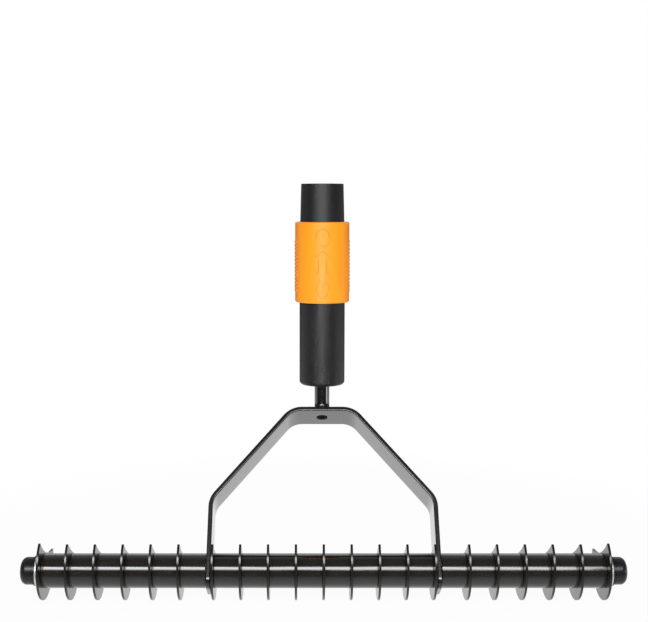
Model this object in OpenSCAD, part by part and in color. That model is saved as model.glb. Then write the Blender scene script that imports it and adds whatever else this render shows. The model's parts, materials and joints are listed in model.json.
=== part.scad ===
// Thatch rake head for a quick-fit handle. A plastic socket with a sprung locking sleeve carries a bent
// steel shank and a strap yoke, and a roller of sickle blades turns in the two eyes of the yoke.
// The origin is the centre of the socket's mouth. +Z runs up the handle, X runs along the roller, and the
// user stands on the -Y side. All lengths are in millimetres and all angles in degrees.

/* [Socket] */
// Bore that the end of the handle slides into
handle_bore_d = 24; // [20:0.5:30]
// Depth of the handle bore below the mouth
handle_bore_depth = 100; // [92:1:104]
// Wall of the neck that the sleeve hides
neck_wall = 2.2; // [1.8:0.1:3]
// Step from the neck out to the foot of the mouth
mouth_step = 1; // [0.8:0.1:1.4]
// Draw of the mouth from its foot in to its rim
mouth_draw = 0.7; // [0.4:0.1:1.4]
// Length of the mouth that shows above the sleeve
mouth_show = 25.8; // [20:0.2:32]
// Length of the mouth's foot that the sleeve covers
mouth_tuck = 2; // [1:0.2:2.6]
// Step from the neck out to the lower grip
grip_step = 1.4; // [1:0.1:1.8]
// Overall length of the socket
socket_length = 138; // [134:1:150]
// Radius on the lower outer edge of the socket
socket_edge_r = 2.4; // [1:0.2:4]

/* [Locking sleeve] */
// Length of the sleeve
sleeve_length = 55; // [53:0.5:62]
// Sliding travel from locked to released
sleeve_travel = 8; // [6:0.5:9]
// Wall of the sleeve round the spring
sleeve_wall = 1.6; // [1.4:0.1:2.4]
// Radial room for the spring between the neck and the sleeve
spring_room = 2.8; // [2.6:0.1:3.4]
// Height of the land at the top of the sleeve
land_h = 6; // [5:0.2:7]
// Radial clearance between the land and the foot of the mouth
land_clearance = 0.3; // [0.2:0.05:0.4]
// Radius on the outer edges of the sleeve
sleeve_edge_r = 1.2; // [0.4:0.1:1.3]
// Length of the lower grip that the sleeve still covers when it is raised
skirt_cover = 0.8; // [0.4:0.1:1.6]
// Radial clearance of the end ring on the neck and on the lower grip
slide_clearance = 0.1; // [0.05:0.01:0.2]
// Thickness of the end ring's lip, which carries the spring
lip_t = 2.4; // [1.6:0.1:3]
// Depth of the end ring above the sleeve's lower rim
end_ring_inset = 0.6; // [0.2:0.1:1.2]
// Gap left round a pressed-in or moulded-in piece
press_gap = 0.02; // [0.01:0.01:0.05]

/* [Grip ribs and symbols] */
// Number of grip ribs in the column on each side
rib_count = 14; // [6:1:15]
// Spacing of the grip ribs
rib_pitch = 2.55; // [2:0.05:2.7]
// Height of one rib
rib_h = 1.2; // [0.8:0.1:1.6]
// How far the ribs stand out of the sleeve
relief = 0.4; // [0.2:0.05:0.6]
// Arc that each rib covers
rib_sweep = 44; // [20:1:60]
// Drop from the sleeve's top to the first rib
rib_start = 13; // [8:0.5:14]
// Line width of the symbols
symbol_line = 0.8; // [0.4:0.1:1]
// Depth of the symbols cut into the sleeve
symbol_cut = 0.5; // [0.3:0.05:0.7]
// Radius of the padlock symbol's body
lock_body_r = 4.3; // [3:0.1:5]
// Radius of the padlock symbol's shackle
lock_shackle_r = 3.3; // [2:0.1:4]
// Drop from a padlock's round end to the centre of its shackle
lock_drop = 8.2; // [7:0.1:9]
// Angle where the open padlock's shackle starts
open_shackle_from = 200; // [180:5:240]
// Angle where the closed padlock's shackle starts
closed_shackle_from = 175; // [150:5:180]
// Angle where both shackles end
shackle_to = 365; // [355:5:390]
// Drop from the sleeve's top to the open padlock
open_lock_start = 4.8; // [4:0.1:6]
// Drop from the sleeve's top to the closed padlock
closed_lock_start = 39.6; // [38:0.1:41]
// Drop from the sleeve's top to the tip of the arrow
arrow_start = 19.6; // [18:0.1:21]
// Height of the whole arrow
arrow_h = 15; // [10:0.2:16]
// Height of the arrow's head
arrow_head_h = 4.7; // [3:0.1:7]
// Gap between the arrow's head and its shaft
arrow_gap = 1.1; // [0.6:0.1:2]
// Length of the feet at the arrow's lower end
arrow_foot = 2.4; // [1:0.1:3]
// Half width of the arrow's head
arrow_head_half = 5.4; // [4:0.1:9]
// Half width of the arrow's shaft
arrow_shaft_half = 2.7; // [1.5:0.1:3.5]

/* [Latch balls] */
// Diameter of each latch ball
ball_d = 4.5; // [4:0.1:4.8]
// Radial lift of a ball while the sleeve is raised
ball_lift = 1.05; // [0.8:0.05:1.2]
// Depth of the relief round the handle bore at the balls
latch_relief = 0.4; // [0.2:0.05:0.6]
// Height of that relief
latch_relief_h = 6.5; // [5.5:0.1:8]
// Clearance between a ball and its seat and ramp
ball_clearance = 0.06; // [0.03:0.01:0.1]

/* [Sleeve spring] */
// Wire of the sleeve spring
wire_d = 1.4; // [1:0.1:1.6]
// Turns of the sleeve spring
spring_turns = 6; // [4:1:7]
// Thickness of the stop ring above the spring
stop_ring_t = 1.4; // [1:0.1:2]
// Depth of the stop ring's groove in the neck
stop_groove = 0.7; // [0.4:0.1:1]
// Opening of the split stop ring
stop_ring_split = 36; // [20:1:60]
// Drop from the foot of the ball ramp to the stop ring
stop_drop = 1; // [0.6:0.1:2]

/* [Shank] */
// Diameter of the shank rod
shank_d = 10.2; // [8:0.2:12]
// Length of the rod moulded into the socket
shank_grip = 32; // [24:1:34]
// Diameter of the moulded-in collars
collar_d = 14; // [13:0.5:18]
// Height of each moulded-in collar
collar_h = 3; // [2:0.5:5]
// Straight run from the socket down to the bend
shank_drop = 13; // [6:0.5:14]
// Bend radius at the centre of the rod
shank_bend_r = 8; // [7:0.5:14]
// Straight run from the bend to the yoke
shank_end = 3.5; // [3.5:0.5:9]
// Diameter of the flare that seats on the yoke
flare_d = 13; // [12.5:0.5:16]
// Height of the flare
flare_h = 2.6; // [1.5:0.1:3.2]
// How far the flare's top is tucked inside the rod
flare_tuck = 0.4; // [0.2:0.1:0.8]
// Tilt of the yoke away from the handle's line
yoke_tilt = 34; // [20:1:45]

/* [Yoke] */
// Width of the strap
strap_w = 25; // [20:0.5:30]
// Thickness of the strap
strap_t = 3; // [2.5:0.1:4]
// Height from the axle to the top of the strap
yoke_height = 110; // [100:1:125]
// Half the width of the strap's top between its corners
yoke_top_half = 20.7; // [16:0.1:26]
// Height above the axle where the legs lean in
leg_height = 44.5; // [42:0.1:52]
// Inside radius of the strap's bends
strap_bend_r = 13; // [6:0.5:14]
// Reach of the leg's end past the axle
eye_reach = 13.5; // [12:0.5:18]
// Corner radius of the leg's end
eye_corner_r = 6; // [3:0.5:9]
// Thread diameter of the yoke screw
screw_d = 4; // [3:0.5:5]
// Length of the yoke screw, with its sunk head
screw_length = 11; // [8:0.5:12]
// Diameter of the yoke screw's head
screw_head_d = 7.4; // [6.6:0.2:8.2]
// Hexagon key size of the yoke screw
screw_key = 2.5; // [2:0.5:3]
// Depth of the hexagon in the head
screw_key_depth = 1.2; // [0.8:0.1:1.4]
// Radial clearance round the yoke screw
screw_clearance = 0.1; // [0.05:0.05:0.3]

/* [Roller] */
// Diameter of the axle
axle_d = 10; // [9:0.5:11]
// Diameter of the threaded ends of the axle
stud_d = 8; // [6:0.5:8.5]
// Outer diameter of the spacers
spacer_d = 22; // [18:0.5:24]
// Working width over the outermost blades
working_width = 364; // [300:1:420]
// Radial clearance of the stack on the axle
stack_clearance = 0.05; // [0.03:0.01:0.1]
// Blades between the legs of the yoke, an odd number
middle_blades = 9; // [5:2:9]
// Blades outside each leg
wing_blades = 6; // [3:1:6]
// Play between each side of a leg and the stack
leg_play = 0.4; // [0.3:0.05:0.6]
// Wall of the bearing bushes in the eyes
bush_wall = 2; // [1.5:0.1:3]
// Radial running clearance of the bushes in the eyes
eye_clearance = 0.05; // [0.03:0.01:0.09]
// How far the axle's shoulder stays back from the end of the stack
shoulder_back = 0.5; // [0.3:0.1:0.9]
// Diameter of the end washers
washer_d = 20.6; // [17:0.2:22]
// Thickness of the end washers
washer_t = 3; // [1.2:0.1:3.2]
// Width of the lock nuts across their flats
nut_flats = 13; // [12:0.5:13.5]
// Height of the lock nuts
nut_h = 6; // [4:0.5:6.5]
// How far the studs stand out of the nuts
stud_proud = 0.5; // [0.5:0.1:1]
// Diameter of the end caps
cap_d = 17.6; // [17.2:0.2:22]
// Diameter of the end caps' flange
cap_flange_d = 19.2; // [18.6:0.2:22]
// Thickness of the end caps' flange
cap_flange_t = 1.2; // [1:0.1:3]
// Width of the groove between a cap and its flange
cap_groove_w = 0.8; // [0.5:0.1:1.2]
// Depth of that groove below the cap
cap_groove_depth = 0.4; // [0.2:0.1:0.6]
// Length of the cap outside its groove
cap_length = 7.9; // [7.5:0.1:12]
// Radius on the cap's round end
cap_edge_r = 4; // [2:0.2:4.2]
// Radial clearance of the cap on the nut's corners
cap_clearance = 0.05; // [0.03:0.01:0.1]

/* [Blades] */
// Thickness of each blade
blade_t = 1.5; // [1:0.1:2]
// Radius of the round edge, from the front point under the axle to the tail
round_r = 22.4; // [20.5:0.1:25]
// Centre of the round edge behind the axle
round_back = 4.8; // [3:0.1:7]
// Centre of the round edge above the axle
round_up = 2.4; // [0:0.1:4]
// Radius of the hollow top edge
hollow_r = 80; // [60:1:100]
// Lean of the hollow top edge towards the tail
hollow_lean = 28; // [22:0.5:32]
// Radius of the deeper hollow in the outermost blade at each end
end_hollow_r = 46; // [44:1:60]
// Lean of that deeper hollow towards the tail
end_hollow_lean = 26; // [22:0.5:32]
// Least height of the hollows above the axle
hollow_gap = 12; // [11.8:0.1:14]

/* [Hidden] */
$fn = 96;
eps = 0.5;

// Socket and sleeve, as radii and heights along Z
bore_r = handle_bore_d / 2;
neck_r = bore_r + neck_wall;
mouth_foot_r = neck_r + mouth_step;
mouth_rim_r = mouth_foot_r - mouth_draw;
grip_r = neck_r + grip_step;
recess_r = neck_r + spring_room;
sleeve_r = recess_r + sleeve_wall;
land_r = mouth_foot_r + land_clearance;
sleeve_top = -mouth_show;
sleeve_bottom = sleeve_top - sleeve_length;
neck_top = sleeve_top - mouth_tuck;
shoulder_z = sleeve_bottom + sleeve_travel + skirt_cover;
lip_bottom = shoulder_z + press_gap;
lip_top = lip_bottom + lip_t;

// Ball ramp in the sleeve, which opens downwards, and the balls that it holds in
ball_r = ball_d / 2;
ramp_angle = atan2(ball_lift, sleeve_travel);
ramp_top = sleeve_top - land_h;
ramp_margin = ball_r / 2;
ramp_h = sleeve_travel + ball_r + ramp_margin;
ramp_foot_r = min(land_r + ramp_h * tan(ramp_angle), recess_r);
ball_drop = ball_r * sin(ramp_angle) + ramp_margin / 4;
ball_z = ramp_top - ball_drop;
ball_x = land_r + ball_drop * tan(ramp_angle) - ball_r / cos(ramp_angle) - ball_clearance;

// Stop ring and spring
stop_top = ramp_top - ramp_h - stop_drop;
stop_bottom = stop_top - stop_ring_t;
stop_ring_r = recess_r - stop_groove / 2;
spring_r = neck_r + spring_room / 2;
wire_r = wire_d / 2;
spring_gap = ball_clearance;
spring_top = stop_bottom - spring_gap - wire_r;
spring_bottom = lip_top + spring_gap + wire_r;
rings_per_turn = 24;
spring_rings = rings_per_turn * spring_turns;
spring_sides = 6;

// Shank and yoke
shank_r = shank_d / 2;
shank_top = -socket_length + shank_grip;
bend_top = -socket_length - shank_drop;
bend_y = -shank_bend_r * (1 - cos(yoke_tilt));
bend_z = bend_top - shank_bend_r * sin(yoke_tilt);
seat_y = bend_y - shank_end * sin(yoke_tilt);
seat_z = bend_z - shank_end * cos(yoke_tilt);
axle_y = seat_y - yoke_height * sin(yoke_tilt);
axle_z = seat_z - yoke_height * cos(yoke_tilt);
strap_mid = yoke_height - strap_t / 2;
bend_mid_r = strap_bend_r + strap_t / 2;
screw_r = screw_d / 2;
screw_head_r = screw_head_d / 2;
screw_head_h = screw_head_r - screw_r;

// Roller, as distances from its middle along X
axle_r = axle_d / 2;
stud_r = stud_d / 2;
spacer_r = spacer_d / 2;
stack_bore_r = axle_r + stack_clearance;
bush_r = stack_bore_r + bush_wall;
eye_r = bush_r + eye_clearance;
gaps_per_half = (middle_blades - 1) / 2 + wing_blades;
blade_pitch = (working_width / 2 - blade_t / 2 - 2 * leg_play - strap_t) / gaps_per_half;
spacer_length = blade_pitch - blade_t;
middle_half = (middle_blades - 1) / 2 * blade_pitch;
leg_inner = middle_half + blade_t / 2 + leg_play;
leg_mid = leg_inner + strap_t / 2;
leg_outer = leg_inner + strap_t;
wing_start = leg_outer + leg_play;
stack_end = wing_start + wing_blades * blade_pitch;
nut_start = stack_end + washer_t;
nut_corner_r = nut_flats / 2 / cos(30);
stud_end = nut_start + nut_h + stud_proud;
cap_r = cap_d / 2;
cap_start = nut_start + press_gap;
cap_body_start = cap_start + cap_flange_t + cap_groove_w;
cap_end = cap_body_start + cap_length;
cap_round_r = min(cap_edge_r, cap_r / 2 - press_gap);

// Angles and lengths of the yoke's bends
strap_slope = atan2(strap_mid - leg_height, leg_mid - yoke_top_half);
top_tangent = bend_mid_r * tan(strap_slope / 2);
leg_tangent = bend_mid_r * tan((90 - strap_slope) / 2);
bend_steps = 12;
quarter_turn = 90;
slant_turn = quarter_turn - strap_slope;

// Names and places of the repeated pieces, from -X to +X
blade_count = middle_blades + 2 * wing_blades;
spacer_count = middle_blades - 1 + 2 * wing_blades;
function two_digits(n) = n < 10 ? str("0", n) : str(n);
function blade_name(i) = str("blade_", two_digits(i + 1));
function spacer_name(i) = str("spacer_", two_digits(i + 1));
function wing_blade_x(k) = wing_start + (k + 1) * blade_pitch - blade_t / 2;
function blade_x(i) =
    i < wing_blades ? -wing_blade_x(wing_blades - 1 - i)
    : i < wing_blades + middle_blades ? (i - wing_blades) * blade_pitch - middle_half
    : wing_blade_x(i - wing_blades - middle_blades);
function spacer_x(i) =
    i < wing_blades ? -wing_start - (wing_blades - i) * blade_pitch + blade_t
    : i < wing_blades + middle_blades - 1 ? (i - wing_blades) * blade_pitch - middle_half + blade_t / 2
    : wing_start + (i - wing_blades - middle_blades + 1) * blade_pitch;
function outermost(i) = i == 0 || i == blade_count - 1;

// Upright cylinder from z0 up to z1
module post(r, z0, z1) {
    translate([0, 0, z0]) cylinder(r = r, h = z1 - z0);
}

// Cylinder along X from x0 to x1
module bar(r, x0, x1) {
    translate([x0, 0, 0]) rotate([0, 90, 0]) cylinder(r = r, h = x1 - x0);
}

// Ring along X from x0 to x1
module ring(outer_r, inner_r, x0, x1) {
    difference() {
        bar(outer_r, x0, x1);
        bar(inner_r, x0 - eps, x1 + eps);
    }
}

// Upright cylinder whose lower outer edge is rounded
module round_foot(r, z0, z1, edge_r) {
    post(r - edge_r, z0, z1);
    post(r, z0 + edge_r, z1);
    translate([0, 0, z0 + edge_r]) rotate_extrude() translate([r - edge_r, 0]) circle(r = edge_r);
}

// Upright cylinder whose two outer edges are rounded
module round_ends(r, z0, z1, edge_r) {
    middle = (z0 + z1) / 2;
    round_foot(r, z0, middle, edge_r);
    translate([0, 0, 2 * middle]) mirror([0, 0, 1]) round_foot(r, z0, middle, edge_r);
}

// Moves a piece from the roller's own frame, with the axle on X, to its place in the yoke
module at_axle() {
    translate([0, axle_y, axle_z]) children();
}

// The upright part of the rod with its moulded-in collars, grown by a gap for the socket's cavity
module upright_shank(gap) {
    collar_pitch = shank_grip / 3;
    post(shank_r + gap, bend_top - eps, shank_top + gap);
    for (i = [1, 2]) {
        collar_z = shank_top - i * collar_pitch + collar_h;
        post(collar_d / 2 + gap, collar_z - collar_h - gap, collar_z + gap);
    }
}

// Seat of one latch ball: a pocket that opens outwards and keeps the ball from falling into the bore
module ball_seat() {
    seat_r = ball_r + ball_clearance;
    translate([ball_x, 0, ball_z]) {
        sphere(r = seat_r);
        bar(seat_r, 0, recess_r);
    }
}

module socket_body() {
    color([0.13, 0.13, 0.14]) difference() {
        union() {
            round_foot(grip_r, -socket_length, shoulder_z, socket_edge_r);
            post(neck_r, shoulder_z - eps, neck_top + eps);
            translate([0, 0, neck_top]) cylinder(r1 = mouth_foot_r, r2 = mouth_rim_r, h = -neck_top);
        }
        post(bore_r, -handle_bore_depth, eps);
        post(bore_r + latch_relief, ball_z - latch_relief_h / 2, ball_z + latch_relief_h / 2);
        difference() {
            post(neck_r + eps, stop_bottom - press_gap, stop_top);
            post(neck_r - stop_groove, stop_bottom - eps, stop_top + eps);
        }
        for (side = [0, 1]) mirror([side, 0, 0]) ball_seat();
        upright_shank(press_gap);
    }
}

module shank() {
    color([0.10, 0.10, 0.11]) difference() {
        union() {
            upright_shank(0);
            translate([0, -shank_bend_r, bend_top]) rotate([90, 0, 90]) rotate([0, 0, -yoke_tilt])
                rotate_extrude(angle = yoke_tilt) translate([shank_bend_r, 0])
                    circle(r = shank_r + press_gap);
            translate([0, seat_y, seat_z]) rotate([-yoke_tilt, 0, 0]) {
                post(shank_r, 0, shank_end + eps);
                cylinder(r1 = flare_d / 2, r2 = shank_r - flare_tuck, h = flare_h);
            }
        }
        translate([0, seat_y, seat_z]) rotate([-yoke_tilt, 0, 0])
            post(screw_r + screw_clearance, -eps, screw_length - strap_t + press_gap);
    }
}

// Outline of the strap seen along its width, down to the start of the rounded leg ends
top_bend = [yoke_top_half - top_tangent, strap_mid - bend_mid_r];
leg_bend = [leg_mid - bend_mid_r, leg_height - leg_tangent];
eye_z = eye_corner_r - eye_reach;
function arc(centre, r, from, to) =
    [for (k = [0 : bend_steps]) let (a = from + (to - from) * k / bend_steps) centre + r * [cos(a), sin(a)]];
function flipped(points) = [for (i = [len(points) - 1 : -1 : 0]) [-points[i].x, points[i].y]];
strap_half = concat(
    arc(top_bend, strap_bend_r + strap_t, quarter_turn, slant_turn),
    arc(leg_bend, strap_bend_r + strap_t, slant_turn, 0),
    [[leg_outer, eye_z], [leg_inner, eye_z]],
    arc(leg_bend, strap_bend_r, 0, slant_turn),
    arc(top_bend, strap_bend_r, slant_turn, quarter_turn));

// Rounded end of one leg, round its eye
module leg_end() {
    corner_y = strap_w / 2 - eye_corner_r;
    translate([leg_inner, -corner_y, -eye_reach]) cube([strap_t, 2 * corner_y, 2 * eye_reach]);
    for (y = [-corner_y, corner_y]) translate([0, y, eye_z]) bar(eye_corner_r, leg_inner, leg_outer);
}

// Sunk head of the yoke screw, or the seat for it with a margin, cut through from below the strap
module screw_head(z, margin, below) {
    translate([0, 0, z - below])
        cylinder(r1 = screw_head_r + margin + below, r2 = screw_r + margin, h = screw_head_h + below);
}

module yoke() {
    color([0.09, 0.09, 0.10]) at_axle() rotate([-yoke_tilt, 0, 0]) difference() {
        union() {
            rotate([90, 0, 0]) linear_extrude(height = strap_w, center = true)
                polygon(concat(strap_half, flipped(strap_half)));
            for (side = [0, 1]) mirror([side, 0, 0]) leg_end();
        }
        post(screw_r + screw_clearance, yoke_height - strap_t - eps, yoke_height + eps);
        screw_head(yoke_height - strap_t, screw_clearance, eps);
        bar(eye_r, -leg_outer - eps, leg_outer + eps);
    }
}

module yoke_screw() {
    head_z = yoke_height - strap_t;
    color([0.08, 0.08, 0.09]) at_axle() rotate([-yoke_tilt, 0, 0]) difference() {
        union() {
            post(screw_r, head_z + eps, head_z + screw_length);
            screw_head(head_z, 0, 0);
        }
        translate([0, 0, head_z - eps])
            cylinder(r = screw_key / 2 / cos(30), h = screw_key_depth + eps, $fn = 6);
    }
}

module stop_ring() {
    color([0.70, 0.71, 0.73]) rotate([0, 0, 90 + stop_ring_split / 2])
        rotate_extrude(angle = 360 - stop_ring_split)
            translate([neck_r - stop_groove + press_gap, stop_bottom])
                square([stop_ring_r - neck_r + stop_groove - press_gap, stop_ring_t]);
}

// Centre line of the spring at ring i, and the point on its wire at side j
function spring_angle(i) = 360 * spring_turns * i / spring_rings;
function spring_z(i) = spring_bottom + (spring_top - spring_bottom) * i / spring_rings;
function spring_centre(i) =
    [spring_r * cos(spring_angle(i)), spring_r * sin(spring_angle(i)), spring_z(i)];
function wire_point(i, j) =
    let (swing = 360 * j / spring_sides, reach = spring_r + wire_r * cos(swing))
    [reach * cos(spring_angle(i)), reach * sin(spring_angle(i)), spring_z(i) + wire_r * sin(swing)];

// Least gap between one turn of the spring and the next
spring_gaps = [for (i = [0 : spring_rings - rings_per_turn])
    norm(spring_centre(i + rings_per_turn) - spring_centre(i)) - wire_d];
echo(least_spring_gap = min(spring_gaps));

module sleeve_spring() {
    points = [for (i = [0 : spring_rings], j = [0 : spring_sides - 1]) wire_point(i, j)];
    last = spring_rings * spring_sides;
    sides = [for (i = [0 : spring_rings - 1], j = [0 : spring_sides - 1])
        let (a = i * spring_sides + j, b = i * spring_sides + (j + 1) % spring_sides)
        each [[a, a + spring_sides, b], [b, a + spring_sides, b + spring_sides]]];
    ends = [for (j = [1 : spring_sides - 2]) each [[0, j, j + 1], [last, last + j + 1, last + j]]];
    color([0.72, 0.73, 0.75]) polyhedron(points = points, faces = concat(sides, ends));
}

// Column of grip ribs round one side of the sleeve
module grip_ribs(direction) {
    for (i = [0 : rib_count - 1])
        translate([0, 0, sleeve_top - rib_start - i * rib_pitch - rib_h])
            rotate([0, 0, direction - rib_sweep / 2]) rotate_extrude(angle = rib_sweep)
                translate([sleeve_r - relief, 0]) square([2 * relief, rib_h]);
}

// Straight line of a symbol, drawn from one point to another in its own plane
module symbol_bar(from, to) {
    run = to - from;
    translate([from.x, from.y, 0]) rotate([0, 0, atan2(run.y, run.x)]) translate([0, -symbol_line / 2, 0])
        cube([norm(run), symbol_line, sleeve_r + eps]);
}

// Arc of a symbol about a centre, between two angles
module symbol_arc(centre, r, from, to) {
    translate([centre.x, centre.y, 0]) rotate([0, 0, from]) rotate_extrude(angle = to - from)
        translate([r - symbol_line / 2, 0]) square([symbol_line, sleeve_r + eps]);
}

// Padlock outline with its shackle below, shut or sprung open
module padlock(open) {
    body_z = -lock_body_r;
    keyhole_z = body_z + lock_body_r / 3;
    shackle_x = open ? lock_body_r - lock_shackle_r : 0;
    symbol_arc([0, body_z], lock_body_r, 0, 180);
    for (side = [-1, 1])
        symbol_bar([side * lock_body_r, body_z], [side * lock_body_r, body_z - lock_body_r / 2]);
    symbol_bar([0, keyhole_z], [0, keyhole_z - lock_body_r / 2]);
    symbol_arc([shackle_x, -lock_drop], lock_shackle_r,
        open ? open_shackle_from : closed_shackle_from, shackle_to);
}

module arrow() {
    head_foot = -arrow_head_h;
    for (side = [-1, 1]) {
        symbol_bar([side * arrow_head_half, head_foot], [0, 0]);
        symbol_bar([side * arrow_shaft_half, head_foot - arrow_gap], [side * arrow_shaft_half, -arrow_h]);
        symbol_bar([side * arrow_shaft_half, -arrow_h], [side * (arrow_shaft_half + arrow_foot), -arrow_h]);
    }
}

// Symbols to cut into the front of the sleeve
module sleeve_symbols() {
    intersection() {
        difference() {
            post(sleeve_r + eps, sleeve_bottom, sleeve_top);
            post(sleeve_r - symbol_cut, sleeve_bottom - eps, sleeve_top + eps);
        }
        translate([0, 0, sleeve_top]) rotate([90, 0, 0]) {
            translate([0, -open_lock_start]) padlock(true);
            translate([0, -arrow_start]) arrow();
            translate([0, -closed_lock_start]) padlock(false);
        }
    }
}

module locking_sleeve() {
    color([0.97, 0.58, 0.08]) union() {
        difference() {
            round_ends(sleeve_r, sleeve_bottom, sleeve_top, sleeve_edge_r);
            post(land_r, ramp_top - eps, sleeve_top + eps);
            translate([0, 0, ramp_top - ramp_h]) cylinder(r1 = ramp_foot_r, r2 = land_r, h = ramp_h);
            post(recess_r, sleeve_bottom - eps, ramp_top - ramp_h);
            sleeve_symbols();
        }
        for (direction = [0, 180]) grip_ribs(direction);
    }
}

module sleeve_end_ring() {
    foot_z = sleeve_bottom + end_ring_inset;
    color([0.16, 0.16, 0.17]) difference() {
        post(recess_r - press_gap, foot_z, lip_top);
        post(neck_r + slide_clearance, foot_z - eps, lip_top + eps);
        post(grip_r + slide_clearance, foot_z - eps, lip_bottom);
    }
}

module latch_ball(side) {
    color([0.78, 0.79, 0.81]) translate([side * ball_x, 0, ball_z]) sphere(r = ball_r);
}

module latch_ball_left() { latch_ball(-1); }

module latch_ball_right() { latch_ball(1); }

module axle() {
    shoulder = stack_end - shoulder_back;
    color([0.62, 0.63, 0.65]) at_axle() {
        bar(axle_r, -shoulder, shoulder);
        bar(stud_r, -stud_end, stud_end);
    }
}

module bush(side) {
    color([0.85, 0.84, 0.80]) at_axle() mirror([side < 0 ? 1 : 0, 0, 0])
        ring(bush_r, stack_bore_r, leg_inner - leg_play, wing_start);
}

module bush_left() { bush(-1); }

module bush_right() { bush(1); }

module end_washers() {
    color([0.74, 0.75, 0.77]) at_axle() for (side = [0, 1]) mirror([side, 0, 0])
        ring(washer_d / 2, stud_r + stack_clearance, stack_end, nut_start);
}

module lock_nuts() {
    color([0.66, 0.67, 0.69]) at_axle() for (side = [0, 1]) mirror([side, 0, 0]) difference() {
        translate([nut_start, 0, 0]) rotate([0, 90, 0]) cylinder(r = nut_corner_r, h = nut_h, $fn = 6);
        bar(stud_r + stack_clearance, nut_start - eps, nut_start + nut_h + eps);
    }
}

module end_cap(side) {
    pocket_r = nut_corner_r + cap_clearance;
    color([0.10, 0.10, 0.11]) at_axle() mirror([side < 0 ? 1 : 0, 0, 0]) difference() {
        union() {
            bar(cap_flange_d / 2, cap_start, cap_start + cap_flange_t);
            bar(cap_r - cap_groove_depth, cap_start, cap_body_start + eps);
            rotate([0, -90, 0]) round_foot(cap_r, -cap_end, -cap_body_start, cap_round_r);
        }
        bar(pocket_r, cap_start - eps, stud_end + press_gap);
    }
}

module end_cap_left() { end_cap(-1); }

module end_cap_right() { end_cap(1); }

// Disc along X in the blade's plane, about a centre behind and above the axle
module blade_disc(r, back, up, margin) {
    translate([0, back, up]) bar(r, -blade_t / 2 - margin, blade_t / 2 + margin);
}

// Sickle blade about the axle: one round edge, and a hollow top edge between the front and tail points
module blade(i) {
    cut_r = outermost(i) ? end_hollow_r : hollow_r;
    lean = outermost(i) ? end_hollow_lean : hollow_lean;
    reach = cut_r + hollow_gap;
    color([0.12, 0.12, 0.13]) at_axle() translate([blade_x(i), 0, 0]) difference() {
        blade_disc(round_r, round_back, round_up, 0);
        blade_disc(cut_r, reach * sin(lean), reach * cos(lean), eps);
        blade_disc(stack_bore_r, 0, 0, eps);
    }
}

module spacer(i) {
    color([0.14, 0.14, 0.15]) at_axle()
        ring(spacer_r, stack_bore_r, spacer_x(i), spacer_x(i) + spacer_length);
}

socket_body();
shank();
yoke();
yoke_screw();
stop_ring();
sleeve_spring();
locking_sleeve();
sleeve_end_ring();
latch_ball_left();
latch_ball_right();
axle();
bush_left();
bush_right();
end_washers();
lock_nuts();
end_cap_left();
end_cap_right();
for (i = [0 : blade_count - 1]) blade(i);
for (i = [0 : spacer_count - 1]) spacer(i);
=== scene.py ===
"""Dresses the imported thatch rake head: finishes, eased edges, a wound spring, studio light and camera."""

import json
import logging
import math
from abc import ABC, abstractmethod
from dataclasses import dataclass, field
from enum import Enum
from typing import Any, Optional, Sequence, Union

import bpy
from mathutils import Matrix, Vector


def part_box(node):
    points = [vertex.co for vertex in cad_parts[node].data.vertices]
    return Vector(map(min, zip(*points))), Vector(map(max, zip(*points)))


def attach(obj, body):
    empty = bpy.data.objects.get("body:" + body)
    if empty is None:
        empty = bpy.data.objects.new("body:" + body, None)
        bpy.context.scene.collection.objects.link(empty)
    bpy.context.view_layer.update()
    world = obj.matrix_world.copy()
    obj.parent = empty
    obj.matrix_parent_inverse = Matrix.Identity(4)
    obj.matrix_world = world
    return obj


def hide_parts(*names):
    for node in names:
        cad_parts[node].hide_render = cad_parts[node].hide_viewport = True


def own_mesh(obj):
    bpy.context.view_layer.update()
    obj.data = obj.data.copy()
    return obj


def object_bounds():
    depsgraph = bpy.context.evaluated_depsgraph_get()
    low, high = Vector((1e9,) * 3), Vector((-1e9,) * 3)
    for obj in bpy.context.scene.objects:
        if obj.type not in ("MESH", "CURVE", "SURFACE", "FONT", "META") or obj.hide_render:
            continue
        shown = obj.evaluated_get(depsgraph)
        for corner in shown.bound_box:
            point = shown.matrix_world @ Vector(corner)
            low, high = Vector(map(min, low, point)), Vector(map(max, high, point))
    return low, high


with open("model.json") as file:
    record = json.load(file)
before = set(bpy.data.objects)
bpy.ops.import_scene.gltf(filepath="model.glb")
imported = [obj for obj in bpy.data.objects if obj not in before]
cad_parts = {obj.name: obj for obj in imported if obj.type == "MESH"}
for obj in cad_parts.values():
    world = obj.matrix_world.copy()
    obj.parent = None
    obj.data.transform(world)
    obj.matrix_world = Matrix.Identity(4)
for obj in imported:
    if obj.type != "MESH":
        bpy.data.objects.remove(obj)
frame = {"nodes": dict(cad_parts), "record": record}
CAD_BOX: tuple[Vector, Vector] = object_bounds()

LOG = logging.getLogger("thatch_rake")
MM = 0.001
IMAGE_WIDTH = 648

Colour = tuple[float, float, float]
Operand = Union["Wire", float]
Point = tuple[float, float, float]
Span = tuple[float, float]
Stops = Sequence[tuple[float, float]]


class Sheen(Enum):
    """How glossy a finish is, as the roughness of its surface."""

    MATTE = 0.62
    GRAINED = 0.48
    SATIN = 0.40
    SOFT = 0.28
    GLOSS = 0.22
    POLISHED = 0.12


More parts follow.
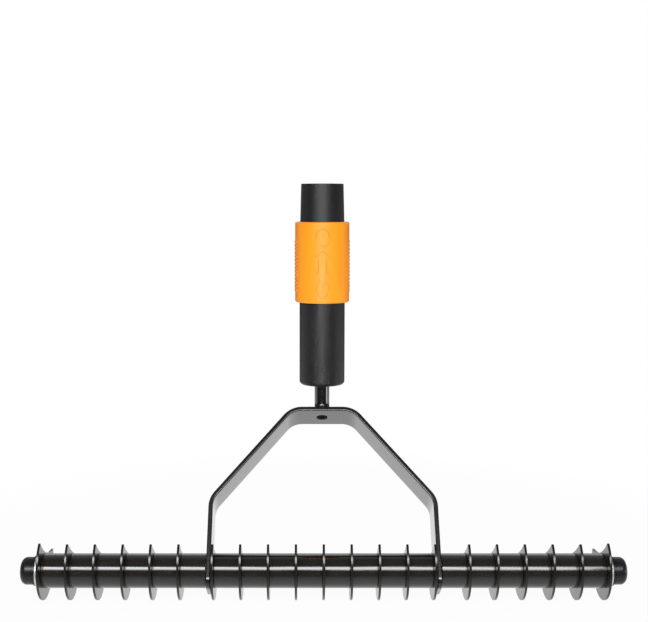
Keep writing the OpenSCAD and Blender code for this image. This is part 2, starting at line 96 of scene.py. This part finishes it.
class Wire:
    """A value socket of a shader, which takes part in Python sums."""

    def __init__(self, graph: "Graph", socket: bpy.types.NodeSocket) -> None:
        """Holds a socket and the graph that it belongs to."""
        self.graph = graph
        self.socket = socket

    def __add__(self, other: Operand) -> "Wire":
        """This value plus another."""
        return self.graph.math("ADD", self, other)

    __radd__ = __add__

    def __sub__(self, other: Operand) -> "Wire":
        """This value less another."""
        return self.graph.math("SUBTRACT", self, other)

    def __rsub__(self, other: Operand) -> "Wire":
        """Another value less this one."""
        return self.graph.math("SUBTRACT", other, self)

    def __mul__(self, other: Operand) -> "Wire":
        """This value times another."""
        return self.graph.math("MULTIPLY", self, other)

    __rmul__ = __mul__


class Graph:
    """The nodes of one material or of the world."""

    def __init__(self, tree: bpy.types.NodeTree) -> None:
        """Takes over a node tree and empties it."""
        self.tree = tree
        self.tree.nodes.clear()

    def node(self, kind: str, settings: Optional[dict[str, Any]] = None,
             inputs: Optional[dict[Any, Any]] = None, output: Union[int, str] = 0) -> Wire:
        """Adds one node.

        Args:
            kind: The node's type, such as ShaderNodeTexNoise.
            settings: Its own settings, set before its sockets; stops is a ramp's list of (place, level).
            inputs: The values or links of its sockets, by name or number.
            output: The socket that the result stands for.

        Returns:
            The node's chosen output, or the first input of a node that has no output.
        """
        made = self.tree.nodes.new(kind)
        for key, value in (settings or {}).items():
            if key == "stops":
                self._set_stops(made.color_ramp, value)
            else:
                setattr(made, key, value)
        for key, value in (inputs or {}).items():
            if isinstance(value, Wire):
                self.tree.links.new(value.socket, made.inputs[key])
            else:
                made.inputs[key].default_value = value
        return Wire(self, made.outputs[output] if len(made.outputs) else made.inputs[0])

    @staticmethod
    def _set_stops(ramp: bpy.types.ColorRamp, stops: Stops) -> None:
        """Gives the two ends of a colour ramp their places and grey levels."""
        for element, (place, level) in zip(ramp.elements, stops):
            element.position = place
            element.color = (level, level, level, 1)

    def math(self, operation: str, a: Operand, b: Operand) -> Wire:
        """Adds a Math node for one operation on two values."""
        return self.node("ShaderNodeMath", {"operation": operation}, {0: a, 1: b})

    def place(self) -> Wire:
        """The point's place in the rake's own frame, in metres."""
        return self.node("ShaderNodeTexCoord", output="Object")

    def stretched(self, scale: Sequence[float]) -> Wire:
        """The point's place, scaled by its own factor along each axis."""
        factors = {0: self.place(), 1: tuple(scale)}
        return self.node("ShaderNodeVectorMath", {"operation": "MULTIPLY"}, factors)

    def noise(self, size: float, detail: float = 2.0, roughness: float = 0.5,
              where: Optional[Wire] = None) -> Wire:
        """Adds noise.

        Args:
            size: The size of its blotches, in metres.
            detail: How many finer layers it has.
            roughness: How strong the finer layers are.
            where: The place that it is read at, or the point's own place.

        Returns:
            The noise as a value around a half.
        """
        return self.node("ShaderNodeTexNoise", {}, {
            "Vector": where or self.place(), "Scale": 1 / size, "Detail": detail, "Roughness": roughness})

    def ramp(self, value: Wire, stops: Stops) -> Wire:
        """Passes a value through two grey stops."""
        return self.node("ShaderNodeValToRGB", {"stops": stops}, {0: value})

    def mix(self, share: Wire, first: Union[Wire, Colour], second: Union[Wire, Colour]) -> Wire:
        """Mixes two colours by a share, which is 0 at the first."""
        ends = [end if isinstance(end, Wire) else (*end, 1) for end in (first, second)]
        return self.node("ShaderNodeMix", {"data_type": "RGBA"}, {0: share, 6: ends[0], 7: ends[1]}, output=2)

    def along(self, axis: str) -> Wire:
        """The point's place along one axis, X, Y or Z."""
        return self.node("ShaderNodeSeparateXYZ", {}, {0: self.place()}, output=axis)

    def length(self, vector: Wire) -> Wire:
        """The length of a vector."""
        return self.node("ShaderNodeVectorMath", {"operation": "LENGTH"}, {0: vector}, output="Value")

    def blend(self, value: Wire, low: float, high: float) -> Wire:
        """Eases a value from 0 at the low end of a range to 1 at its high end."""
        limits = {0: value, 1: low, 2: high}
        return self.node("ShaderNodeMapRange", {"interpolation_type": "SMOOTHSTEP"}, limits)

    def bump(self, height: Wire, depth: float, strength: float) -> Wire:
        """Adds a Bump node, with its depth in metres."""
        sockets = {"Height": height, "Distance": depth, "Strength": strength}
        return self.node("ShaderNodeBump", {}, sockets, "Normal")

    def surface(self, sockets: dict[str, Any]) -> None:
        """Ends a material in a Principled shader with these sockets set."""
        shader = self.node("ShaderNodeBsdfPrincipled", {}, sockets, "BSDF")
        self.node("ShaderNodeOutputMaterial", {}, {"Surface": shader})


@dataclass(frozen=True)
class Finish(ABC):
    """A surface that a piece is dressed in."""

    name: str
    colour: Colour
    sheen: Sheen

    @abstractmethod
    def paint(self, g: Graph) -> None:
        """Fills the material's graph."""

    def material(self) -> bpy.types.Material:
        """The finish as a material, made once."""
        made = bpy.data.materials.get(self.name)
        if made is None:
            made = bpy.data.materials.new(self.name)
            made.use_nodes = True
            self.paint(Graph(made.node_tree))
        return made

    def paler(self, share: float) -> Colour:
        """The finish's colour, lightened by a share of itself."""
        return tuple(min(c * (1 + share), 1.0) for c in self.colour)

    def deeper(self, share: float) -> Colour:
        """The finish's colour, darkened by a share."""
        return tuple(c * (1 - share) for c in self.colour)


@dataclass(frozen=True)
class FineGrain(Finish):
    """Dull surface with a fine grain, moulded or blackened."""

    grain: float
    grain_depth: float
    specular: float = 0.3
    smooth_above: Optional[float] = None
    flattening: float = 0.8
    relief: float = 0.7
    cloud_size: float = 14 * MM
    speck_stops: Stops = ((0.42, 0.0), (0.68, 1.0))
    speck_share: float = 0.75
    shade: float = 0.35
    tint: float = 0.7
    extra_gloss: float = 0.08
    cloud_dulling: float = 0.1
    speck_dulling: float = 0.06

    def paint(self, g: Graph) -> None:
        """Speckled colour and roughness over a fine grain, which may flatten out above a height."""
        grain = g.noise(self.grain, detail=3.0, roughness=0.6)
        cloud = g.noise(self.cloud_size)
        speck = g.ramp(grain, self.speck_stops)
        relief = grain
        if self.smooth_above is not None:
            smooth = g.blend(g.along("Z"), self.smooth_above - MM, self.smooth_above)
            relief = grain * (1 - smooth * self.flattening)
        tone = speck * self.speck_share + cloud * (1 - self.speck_share)
        dulling = cloud * self.cloud_dulling + speck * self.speck_dulling
        g.surface({
            "Base Color": g.mix(tone, self.deeper(self.shade), self.paler(self.tint)),
            "Roughness": self.sheen.value - self.extra_gloss + dulling,
            "Specular IOR Level": self.specular,
            "Normal": g.bump(relief, self.grain_depth, self.relief),
        })


@dataclass(frozen=True)
class SatinMoulding(Finish):
    """Smooth coloured moulding round the handle's axis, with faint flow marks and painted shade in the cut
    symbols.
    """

    face_r: float = 18.6 * MM
    cut: float = 0.5 * MM
    cut_rim: float = 0.15
    # Painted shade: the dark colour laid in the cut lines, where shade would fall in the recesses.
    painted_cut_shade: Colour = (0.58, 0.235, 0.003)
    symbols: Span = (-78.0 * MM, -29.0 * MM)
    specular: float = 0.5
    flow_size: float = 9 * MM
    flow_stretch: Sequence[float] = (1, 1, 0.35)
    fine_size: float = 0.7 * MM
    shade: float = 0.08
    tint: float = 0.05
    extra_gloss: float = 0.05
    flow_dulling: float = 0.06
    fine_dulling: float = 0.05
    fine_share: float = 0.5
    ripple_depth: float = 0.03 * MM
    ripple: float = 0.5

    def paint(self, g: Graph) -> None:
        """Gently clouded colour with a slight ripple, with painted shade in the cut lines."""
        flow = g.noise(self.flow_size, detail=3.0, where=g.stretched(self.flow_stretch))
        fine = g.noise(self.fine_size)
        low, high = self.symbols
        height = g.along("Z")
        beside = g.blend(height, low, low + MM) * (1 - g.blend(height, high - MM, high))
        from_axis = g.length(g.stretched((1, 1, 0)))
        # Mask of the painted shade: the sunken floor and walls of the cut lines, within the symbols' band.
        cut_shade_mask = 1 - g.blend(from_axis, self.face_r - self.cut, self.face_r - self.cut_rim * self.cut)
        clean = g.mix(flow, self.deeper(self.shade), self.paler(self.tint))
        dulling = flow * self.flow_dulling + fine * self.fine_dulling
        ripple = fine * self.fine_share + flow * (1 - self.fine_share)
        g.surface({
            "Base Color": g.mix(cut_shade_mask * beside, clean, self.painted_cut_shade),
            "Roughness": self.sheen.value - self.extra_gloss + dulling,
            "Specular IOR Level": self.specular,
            "Normal": g.bump(ripple, self.ripple_depth, self.ripple),
        })


@dataclass(frozen=True)
class GlossCoat(Finish):
    """Black gloss with a slight orange peel and hairline rubs, on steel or on a tube."""

    coat: float = 0.9
    rub_axis: Sequence[float] = (1.0, 1.0, 1.0)
    coat_roughness: float = 0.08
    specular: float = 0.5
    peel_size: float = 2.2 * MM
    peel_depth: float = 0.006 * MM
    peel: float = 0.6
    cloud_size: float = 22 * MM
    rub_size: float = 2.4 * MM
    rub_stops: Stops = ((0.56, 0.0), (0.74, 1.0))
    rub_share: float = 0.5
    cloud_share: float = 0.3
    shade: float = 0.2
    tint: float = 1.2
    extra_gloss: float = 0.04
    cloud_dulling: float = 0.08
    rub_dulling: float = 0.05
    rub_wear: float = 0.12

    def paint(self, g: Graph) -> None:
        """Deep colour under a clear gloss, a little duller where it is rubbed."""
        peel = g.noise(self.peel_size)
        cloud = g.noise(self.cloud_size, detail=3.0, roughness=0.55)
        streak = g.noise(self.rub_size, detail=4.0, roughness=0.65, where=g.stretched(self.rub_axis))
        rub = g.ramp(streak, self.rub_stops)
        tone = rub * self.rub_share + cloud * self.cloud_share
        dulling = cloud * self.cloud_dulling + rub * self.rub_dulling
        g.surface({
            "Base Color": g.mix(tone, self.deeper(self.shade), self.paler(self.tint)),
            "Roughness": self.sheen.value - self.extra_gloss + dulling,
            "Specular IOR Level": self.specular,
            "Coat Weight": self.coat - rub * self.rub_wear,
            "Coat Roughness": self.coat_roughness,
            "Normal": g.bump(peel, self.peel_depth, self.peel),
        })


@dataclass(frozen=True)
class PlatedSteel(Finish):
    """Bright plated steel with turned or drawn lines."""

    line_axis: Sequence[float] = (1.0, 0.12, 0.12)
    line_size: float = 0.5 * MM
    line_depth: float = 0.006 * MM
    line: float = 0.5
    bloom_size: float = 5 * MM
    unevenness: float = 0.12
    line_dulling: float = 0.1
    bloom_dulling: float = 0.06

    def paint(self, g: Graph) -> None:
        """Bright metal with fine lines and a slight bloom."""
        line = g.noise(self.line_size, detail=3.0, roughness=0.6, where=g.stretched(self.line_axis))
        bloom = g.noise(self.bloom_size, detail=3.0, roughness=0.6)
        g.surface({
            "Base Color": g.mix(bloom, self.deeper(self.unevenness), self.paler(self.unevenness)),
            "Metallic": 1.0,
            "Roughness": self.sheen.value + line * self.line_dulling + bloom * self.bloom_dulling,
            "Normal": g.bump(line, self.line_depth, self.line),
        })


@dataclass(frozen=True)
class EdgeEasing:
    """The small radius on a solid's edges, as a chain of modifiers."""

    radius: float
    segments: int = 2
    angle: float = 32.0
    weld_reach: float = 0.002 * MM
    face_weight: int = 100

    def apply(self, piece: bpy.types.Object) -> None:
        """Joins a solid's faces, eases its sharp edges and evens out its shading."""
        weld = piece.modifiers.new("join_faces", "WELD")
        weld.merge_threshold = self.weld_reach
        bevel = piece.modifiers.new("eased_edges", "BEVEL")
        bevel.width = self.radius
        bevel.segments = self.segments
        bevel.limit_method = "ANGLE"
        bevel.angle_limit = math.radians(self.angle)
        bevel.use_clamp_overlap = True
        shade = piece.modifiers.new("even_shading", "WEIGHTED_NORMAL")
        shade.keep_sharp = False
        shade.weight = self.face_weight


SOCKET_PLASTIC = FineGrain("socket_plastic_grained", (0.004, 0.004, 0.0044), Sheen.GRAINED,
                           grain=1.7 * MM, grain_depth=0.4 * MM, specular=0.6, smooth_above=-68 * MM)
RING_PLASTIC = FineGrain("end_ring_plastic", (0.014, 0.014, 0.015), Sheen.SATIN,
                         grain=0.8 * MM, grain_depth=0.02 * MM)
CAP_PLASTIC = FineGrain("cap_plastic_soft", (0.009, 0.009, 0.0095), Sheen.SOFT,
                        grain=0.9 * MM, grain_depth=0.015 * MM, specular=0.4)
BUSH_PLASTIC = FineGrain("bearing_plastic", (0.62, 0.60, 0.54), Sheen.SATIN,
                         grain=0.9 * MM, grain_depth=0.01 * MM, specular=0.5)
SCREW_BLACK = FineGrain("screw_black_oxide", (0.004, 0.004, 0.0044), Sheen.MATTE,
                        grain=0.4 * MM, grain_depth=0.01 * MM, specular=0.05)
SLEEVE_ORANGE = SatinMoulding("sleeve_orange_satin", (0.92, 0.294, 0.003), Sheen.SATIN)
STRAP_BLACK = GlossCoat("strap_black_coat", (0.0055, 0.0055, 0.006), Sheen.GLOSS)
ROD_BLACK = GlossCoat("rod_black_coat", (0.005, 0.005, 0.0055), Sheen.POLISHED)
BLADE_BLACK = GlossCoat("blade_black_coat", (0.0105, 0.0085, 0.0065), Sheen.GLOSS,
                        coat=0.31, rub_axis=(1.0, 0.4, 1.0))
SPACER_BLACK = GlossCoat("spacer_black_gloss", (0.0135, 0.0115, 0.0095), Sheen.POLISHED,
                         coat=0.6, rub_axis=(0.25, 1.0, 1.0))
ZINC_STEEL = PlatedSteel("zinc_plated_steel", (0.72, 0.73, 0.75), Sheen.GLOSS)
WASHER_STEEL = PlatedSteel("washer_bright_steel", (0.86, 0.87, 0.88), Sheen.SATIN)
WIRE_STEEL = PlatedSteel("spring_wire_steel", (0.58, 0.59, 0.61), Sheen.GLOSS, line_axis=(1.0, 1.0, 0.2))
BALL_STEEL = PlatedSteel("ball_polished_steel", (0.78, 0.79, 0.80), Sheen.POLISHED, line_axis=(1.0, 1.0, 1.0))


@dataclass
class SubAssembly(ABC):
    """A group of pieces that are built and dressed together."""

    name: str

    @abstractmethod
    def build(self) -> None:
        """Makes the pieces that the solids don't have."""

    @abstractmethod
    def dress(self) -> None:
        """Gives every solid its finish and its eased edges."""

    def finish(self, node: str, finish: Finish, easing: Optional[EdgeEasing] = None) -> None:
        """Dresses one solid of the frame.

        Args:
            node: The solid's name.
            finish: The surface that it gets.
            easing: The radius on its edges, or none for a round solid that keeps its own shading.
        """
        piece = frame["nodes"][node]
        piece.data.materials.clear()
        piece.data.materials.append(finish.material())
        if easing is not None:
            easing.apply(piece)
        LOG.info("%s: %s in %s", self.name, node, finish.name)


@dataclass(frozen=True)
class CoilSpring:
    """A round-wire spring that stands for a solid of the frame."""

    name: str
    node: str
    body: str
    joint: str
    wire_r: float
    turns: int
    rings: int = 36
    sides: int = 10

    def _wind(self, low: Vector, high: Vector) -> bpy.types.Mesh:
        """Winds the wire inside a box.

        Args:
            low: The box's low corner.
            high: The box's high corner.

        Returns:
            The wire's mesh, closed at both ends.
        """
        coil_r = high.x - self.wire_r
        rise = high.z - low.z - 2 * self.wire_r
        count = self.turns * self.rings
        points = []
        for i in range(count + 1):
            turn = math.tau * i / self.rings
            middle = low.z + self.wire_r + rise * i / count
            for j in range(self.sides):
                swing = math.tau * j / self.sides
                reach = coil_r + self.wire_r * math.cos(swing)
                height = middle + self.wire_r * math.sin(swing)
                points.append((reach * math.cos(turn), reach * math.sin(turn), height))
        skin = []
        for i in range(count):
            for j in range(self.sides):
                a = i * self.sides + j
                b = i * self.sides + (j + 1) % self.sides
                skin.append((a, a + self.sides, b + self.sides, b))
        start = tuple(range(self.sides))
        end = tuple(reversed(range(count * self.sides, (count + 1) * self.sides)))
        mesh = bpy.data.meshes.new(self.name)
        mesh.from_pydata(points, [], skin + [start, end])
        mesh.shade_smooth()
        return mesh

    def build(self, finish: Finish) -> None:
        """Puts the spring in its solid's place, between its seats.

        Args:
            finish: The surface of the wire.
        """
        low, high = (Vector(corner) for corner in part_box(self.node))
        mesh = self._wind(low, high)
        mesh.materials.append(finish.material())
        spring = bpy.data.objects.new(self.name, mesh)
        bpy.context.scene.collection.objects.link(spring)
        slide = next(j for j in frame["record"]["behaviour"]["joints"] if j["name"] == self.joint)
        length = high.z - low.z
        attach(spring, self.body)
        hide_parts(self.node)
        1 - slide["range_m"][1] / length
        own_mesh(spring)
        LOG.info("%s: %d turns in %s", self.name, self.turns, finish.name)


@dataclass
class HandleSocket(SubAssembly):
    """The socket that takes the handle, its locking sleeve and the latch inside."""

    name: str = "handle socket"
    body_edge: float = 0.5 * MM
    sleeve_edge: float = 0.12 * MM
    ring_edge: float = 0.2 * MM
    spring: CoilSpring = CoilSpring("round_wire_spring", "sleeve_spring", "socket", "sleeve_slide",
                                    wire_r=0.7 * MM, turns=6)

    def build(self) -> None:
        """Winds the spring; the solids have the other pieces."""
        self.spring.build(WIRE_STEEL)

    def dress(self) -> None:
        """Grained black socket, satin orange sleeve and bright latch parts."""
        self.finish("socket_body", SOCKET_PLASTIC, EdgeEasing(self.body_edge))
        self.finish("locking_sleeve", SLEEVE_ORANGE, EdgeEasing(self.sleeve_edge))
        self.finish("sleeve_end_ring", RING_PLASTIC, EdgeEasing(self.ring_edge))
        self.finish("stop_ring", ZINC_STEEL, EdgeEasing(self.ring_edge))
        for node in ("latch_ball_left", "latch_ball_right"):
            self.finish(node, BALL_STEEL)


@dataclass
class StrapYoke(SubAssembly):
    """The bent rod, the strap that straddles the roller and the screw between them."""

    name: str = "yoke"
    strap_edge: float = 1.1 * MM
    screw_edge: float = 0.15 * MM

    def build(self) -> None:
        """The solids have every piece of the yoke."""

    def dress(self) -> None:
        """Gloss black strap and rod with a duller screw."""
        self.finish("yoke", STRAP_BLACK, EdgeEasing(self.strap_edge, segments=5))
        self.finish("shank", ROD_BLACK)
        self.finish("yoke_screw", SCREW_BLACK, EdgeEasing(self.screw_edge))


@dataclass
class BladeRoller(SubAssembly):
    """The stack of sickle blades and spacers that turns in the yoke."""

    name: str = "roller"
    blades: int = 21
    spacers: int = 20
    blade_edge: float = 0.22 * MM
    spacer_edge: float = 0.3 * MM
    cap_edge: float = 0.25 * MM
    fitting_edge: float = 0.2 * MM
    washer_edge: float = 0.5 * MM

    def build(self) -> None:
        """The solids have every piece of the roller."""

    def dress(self) -> None:
        """Gloss black blades and spacers between bright washers and softly shining caps."""
        for i in range(1, self.blades + 1):
            self.finish(f"blade_{i:02d}", BLADE_BLACK, EdgeEasing(self.blade_edge))
        for i in range(1, self.spacers + 1):
            self.finish(f"spacer_{i:02d}", SPACER_BLACK, EdgeEasing(self.spacer_edge))
        for side in ("left", "right"):
            self.finish(f"end_cap_{side}", CAP_PLASTIC, EdgeEasing(self.cap_edge))
            self.finish(f"bush_{side}", BUSH_PLASTIC, EdgeEasing(self.fitting_edge))
        for node in ("axle", "lock_nuts"):
            self.finish(node, ZINC_STEEL, EdgeEasing(self.fitting_edge))
        self.finish("end_washers", WASHER_STEEL, EdgeEasing(self.washer_edge, segments=3))


@dataclass(frozen=True)
class Softbox:
    """A rectangular lamp that looks at a point."""

    name: str
    place: Point
    target: Point
    width: float
    height: float
    power: float
    spread: float = math.pi

    def build(self) -> None:
        """Adds the lamp to the scene."""
        lamp = bpy.data.lights.new(self.name, "AREA")
        lamp.shape = "RECTANGLE"
        lamp.size = self.width
        lamp.size_y = self.height
        lamp.energy = self.power
        lamp.spread = self.spread
        holder = bpy.data.objects.new(self.name, lamp)
        holder.location = self.place
        aim = Vector(self.target) - Vector(self.place)
        holder.rotation_euler = aim.to_track_quat("-Z", "Y").to_euler()
        bpy.context.scene.collection.objects.link(holder)


@dataclass
class Studio:
    """The pale floor, the soft light and the camera.

    Glossy pieces mirror a white floor beside and close behind them, and dim walls and a dim floor
    elsewhere, as in the photograph. Lengths are in metres, except the sensor's width in millimetres; the
    pitch is in degrees and power in watts.
    """

    floor_half: float = 60.0
    floor_grey: float = 0.82
    floor_shadow: float = 0.05
    shadow_reach: Span = (0.34, 0.50)
    mirror_front: Span = (-0.15, -0.055)
    mirror_back: Span = (0.35, 0.75)
    dim_floor: Colour = (0.10, 0.098, 0.094)
    world_fill: float = 0.2
    back_fill: float = 0.5
    dim_side: float = 0.09
    dim_back: float = 0.35
    back_turn: Span = (0.0, 0.55)
    camera_place: Point = (-0.0137, -0.760, -0.013)
    camera_pitch: float = 5.58
    camera_shift: float = 0.0335
    camera_reach: Span = (0.01, 100.0)
    focal_pixels: float = 1106.0
    sensor_width: float = 36.0
    boxes: list[Softbox] = field(default_factory=lambda: [
        Softbox("front_box", (0.06, -1.06, 0.54), (0.0, -0.066, -0.248), width=1.4, height=0.28, power=6.4),
        Softbox("key_box", (-0.10, -1.05, 0.36), (0.0, -0.03, -0.10), width=1.16, height=0.36, power=9.6),
        Softbox("grid_box", (-0.07, -1.00, -0.19), (0.0, 0.0, -0.10), width=0.36, height=0.13, power=0.03,
                spread=math.radians(10)),
        Softbox("back_box", (0.10, 1.30, 0.50), (0.0, 0.0, -0.12), width=1.4, height=0.5, power=1.8),
        Softbox("side_strip", (0.50, -0.11, -0.240), (0.0, 0.0, -0.15), width=0.16, height=0.045, power=0.12),
    ])

    def build(self) -> None:
        """Adds the floor, world, lamps and camera."""
        self._floor()
        self._world()
        for box in self.boxes:
            box.build()
        self._camera()

    @staticmethod
    def _rays(g: Graph) -> tuple[Wire, Wire]:
        """Which rays show the surroundings.

        Args:
            g: The graph of the floor or of the world.

        Returns:
            1 for rays that show them straight on or through glass, and 1 for rays that show them in a gloss.
        """
        straight = g.node("ShaderNodeLightPath", output="Is Camera Ray")
        outputs = straight.socket.node.outputs
        through = Wire(g, outputs["Is Transmission Ray"])
        return g.math("MAXIMUM", straight, through), Wire(g, outputs["Is Glossy Ray"])

    def _floor(self) -> None:
        """A wide pale floor under the blades."""
        low = CAD_BOX[0].z
        half = self.floor_half
        corners = [(-half, -half, low), (half, -half, low), (half, half, low), (-half, half, low)]
        mesh = bpy.data.meshes.new("floor")
        mesh.from_pydata(corners, [], [(0, 1, 2, 3)])
        mesh.materials.append(self._floor_material())
        floor = bpy.data.objects.new("floor", mesh)
        bpy.context.scene.collection.objects.link(floor)

    def _floor_material(self) -> bpy.types.Material:
        """White with a faint shadow, and dim in a gloss away from the rake."""
        material = bpy.data.materials.new("pale_floor")
        material.use_nodes = True
        g = Graph(material.node_tree)
        straight, glossy = self._rays(g)
        shadow = (1 - g.blend(g.length(g.place()), *self.shadow_reach)) * self.floor_shadow
        depth = g.along("Y")
        near = g.blend(depth, *self.mirror_front) * (1 - g.blend(depth, *self.mirror_back))
        tone = g.mix(glossy * (1 - near), (1, 1, 1), self.dim_floor)
        grey = (self.floor_grey, self.floor_grey, self.floor_grey, 1)
        matt = g.node("ShaderNodeBsdfDiffuse", {}, {"Color": grey})
        white = g.node("ShaderNodeEmission", {}, {"Color": tone, "Strength": 1.0})
        share = g.math("MAXIMUM", straight, glossy) * (1 - shadow)
        mixed = g.node("ShaderNodeMixShader", {}, {0: share, 1: matt, 2: white})
        g.node("ShaderNodeOutputMaterial", {}, {"Surface": mixed})
        return material

    def _world(self) -> None:
        """White surroundings that are dim in a gloss and fill the shadows softly, more so from behind."""
        world = bpy.data.worlds.new("white_studio")
        world.use_nodes = True
        g = Graph(world.node_tree)
        straight, glossy = self._rays(g)
        way = g.node("ShaderNodeTexCoord", output="Generated")
        behind = g.blend(g.node("ShaderNodeSeparateXYZ", {}, {0: way}, output="Y"), *self.back_turn)
        mirrored = behind * (self.dim_back - self.dim_side) + self.dim_side
        fill = behind * self.back_fill + self.world_fill
        level = straight + glossy * mirrored + (1 - g.math("MAXIMUM", straight, glossy)) * fill
        sky = g.node("ShaderNodeBackground", {}, {"Color": (1, 1, 1, 1), "Strength": level})
        g.node("ShaderNodeOutputWorld", {}, {"Surface": sky})
        bpy.context.scene.world = world

    def _camera(self) -> None:
        """The photograph's camera: near the mouth's height, a little to the left and tipped down a little."""
        lens = bpy.data.cameras.new("photo_camera")
        lens.sensor_fit = "HORIZONTAL"
        lens.sensor_width = self.sensor_width
        lens.lens = self.sensor_width * self.focal_pixels / IMAGE_WIDTH
        lens.shift_x = self.camera_shift
        lens.clip_start, lens.clip_end = self.camera_reach
        camera = bpy.data.objects.new("photo_camera", lens)
        camera.location = self.camera_place
        camera.rotation_euler = (math.radians(90 - self.camera_pitch), 0.0, 0.0)
        bpy.context.scene.collection.objects.link(camera)
        bpy.context.scene.camera = camera


def main() -> None:
    """Builds and dresses each sub-assembly, then lights it."""
    logging.basicConfig(level=logging.INFO, format="%(name)s: %(message)s")
    bpy.context.scene.view_settings.view_transform = "Standard"
    for part in (HandleSocket(), StrapYoke(), BladeRoller()):
        part.build()
        part.dress()
    Studio().build()


if __name__ == "__main__":
    main()
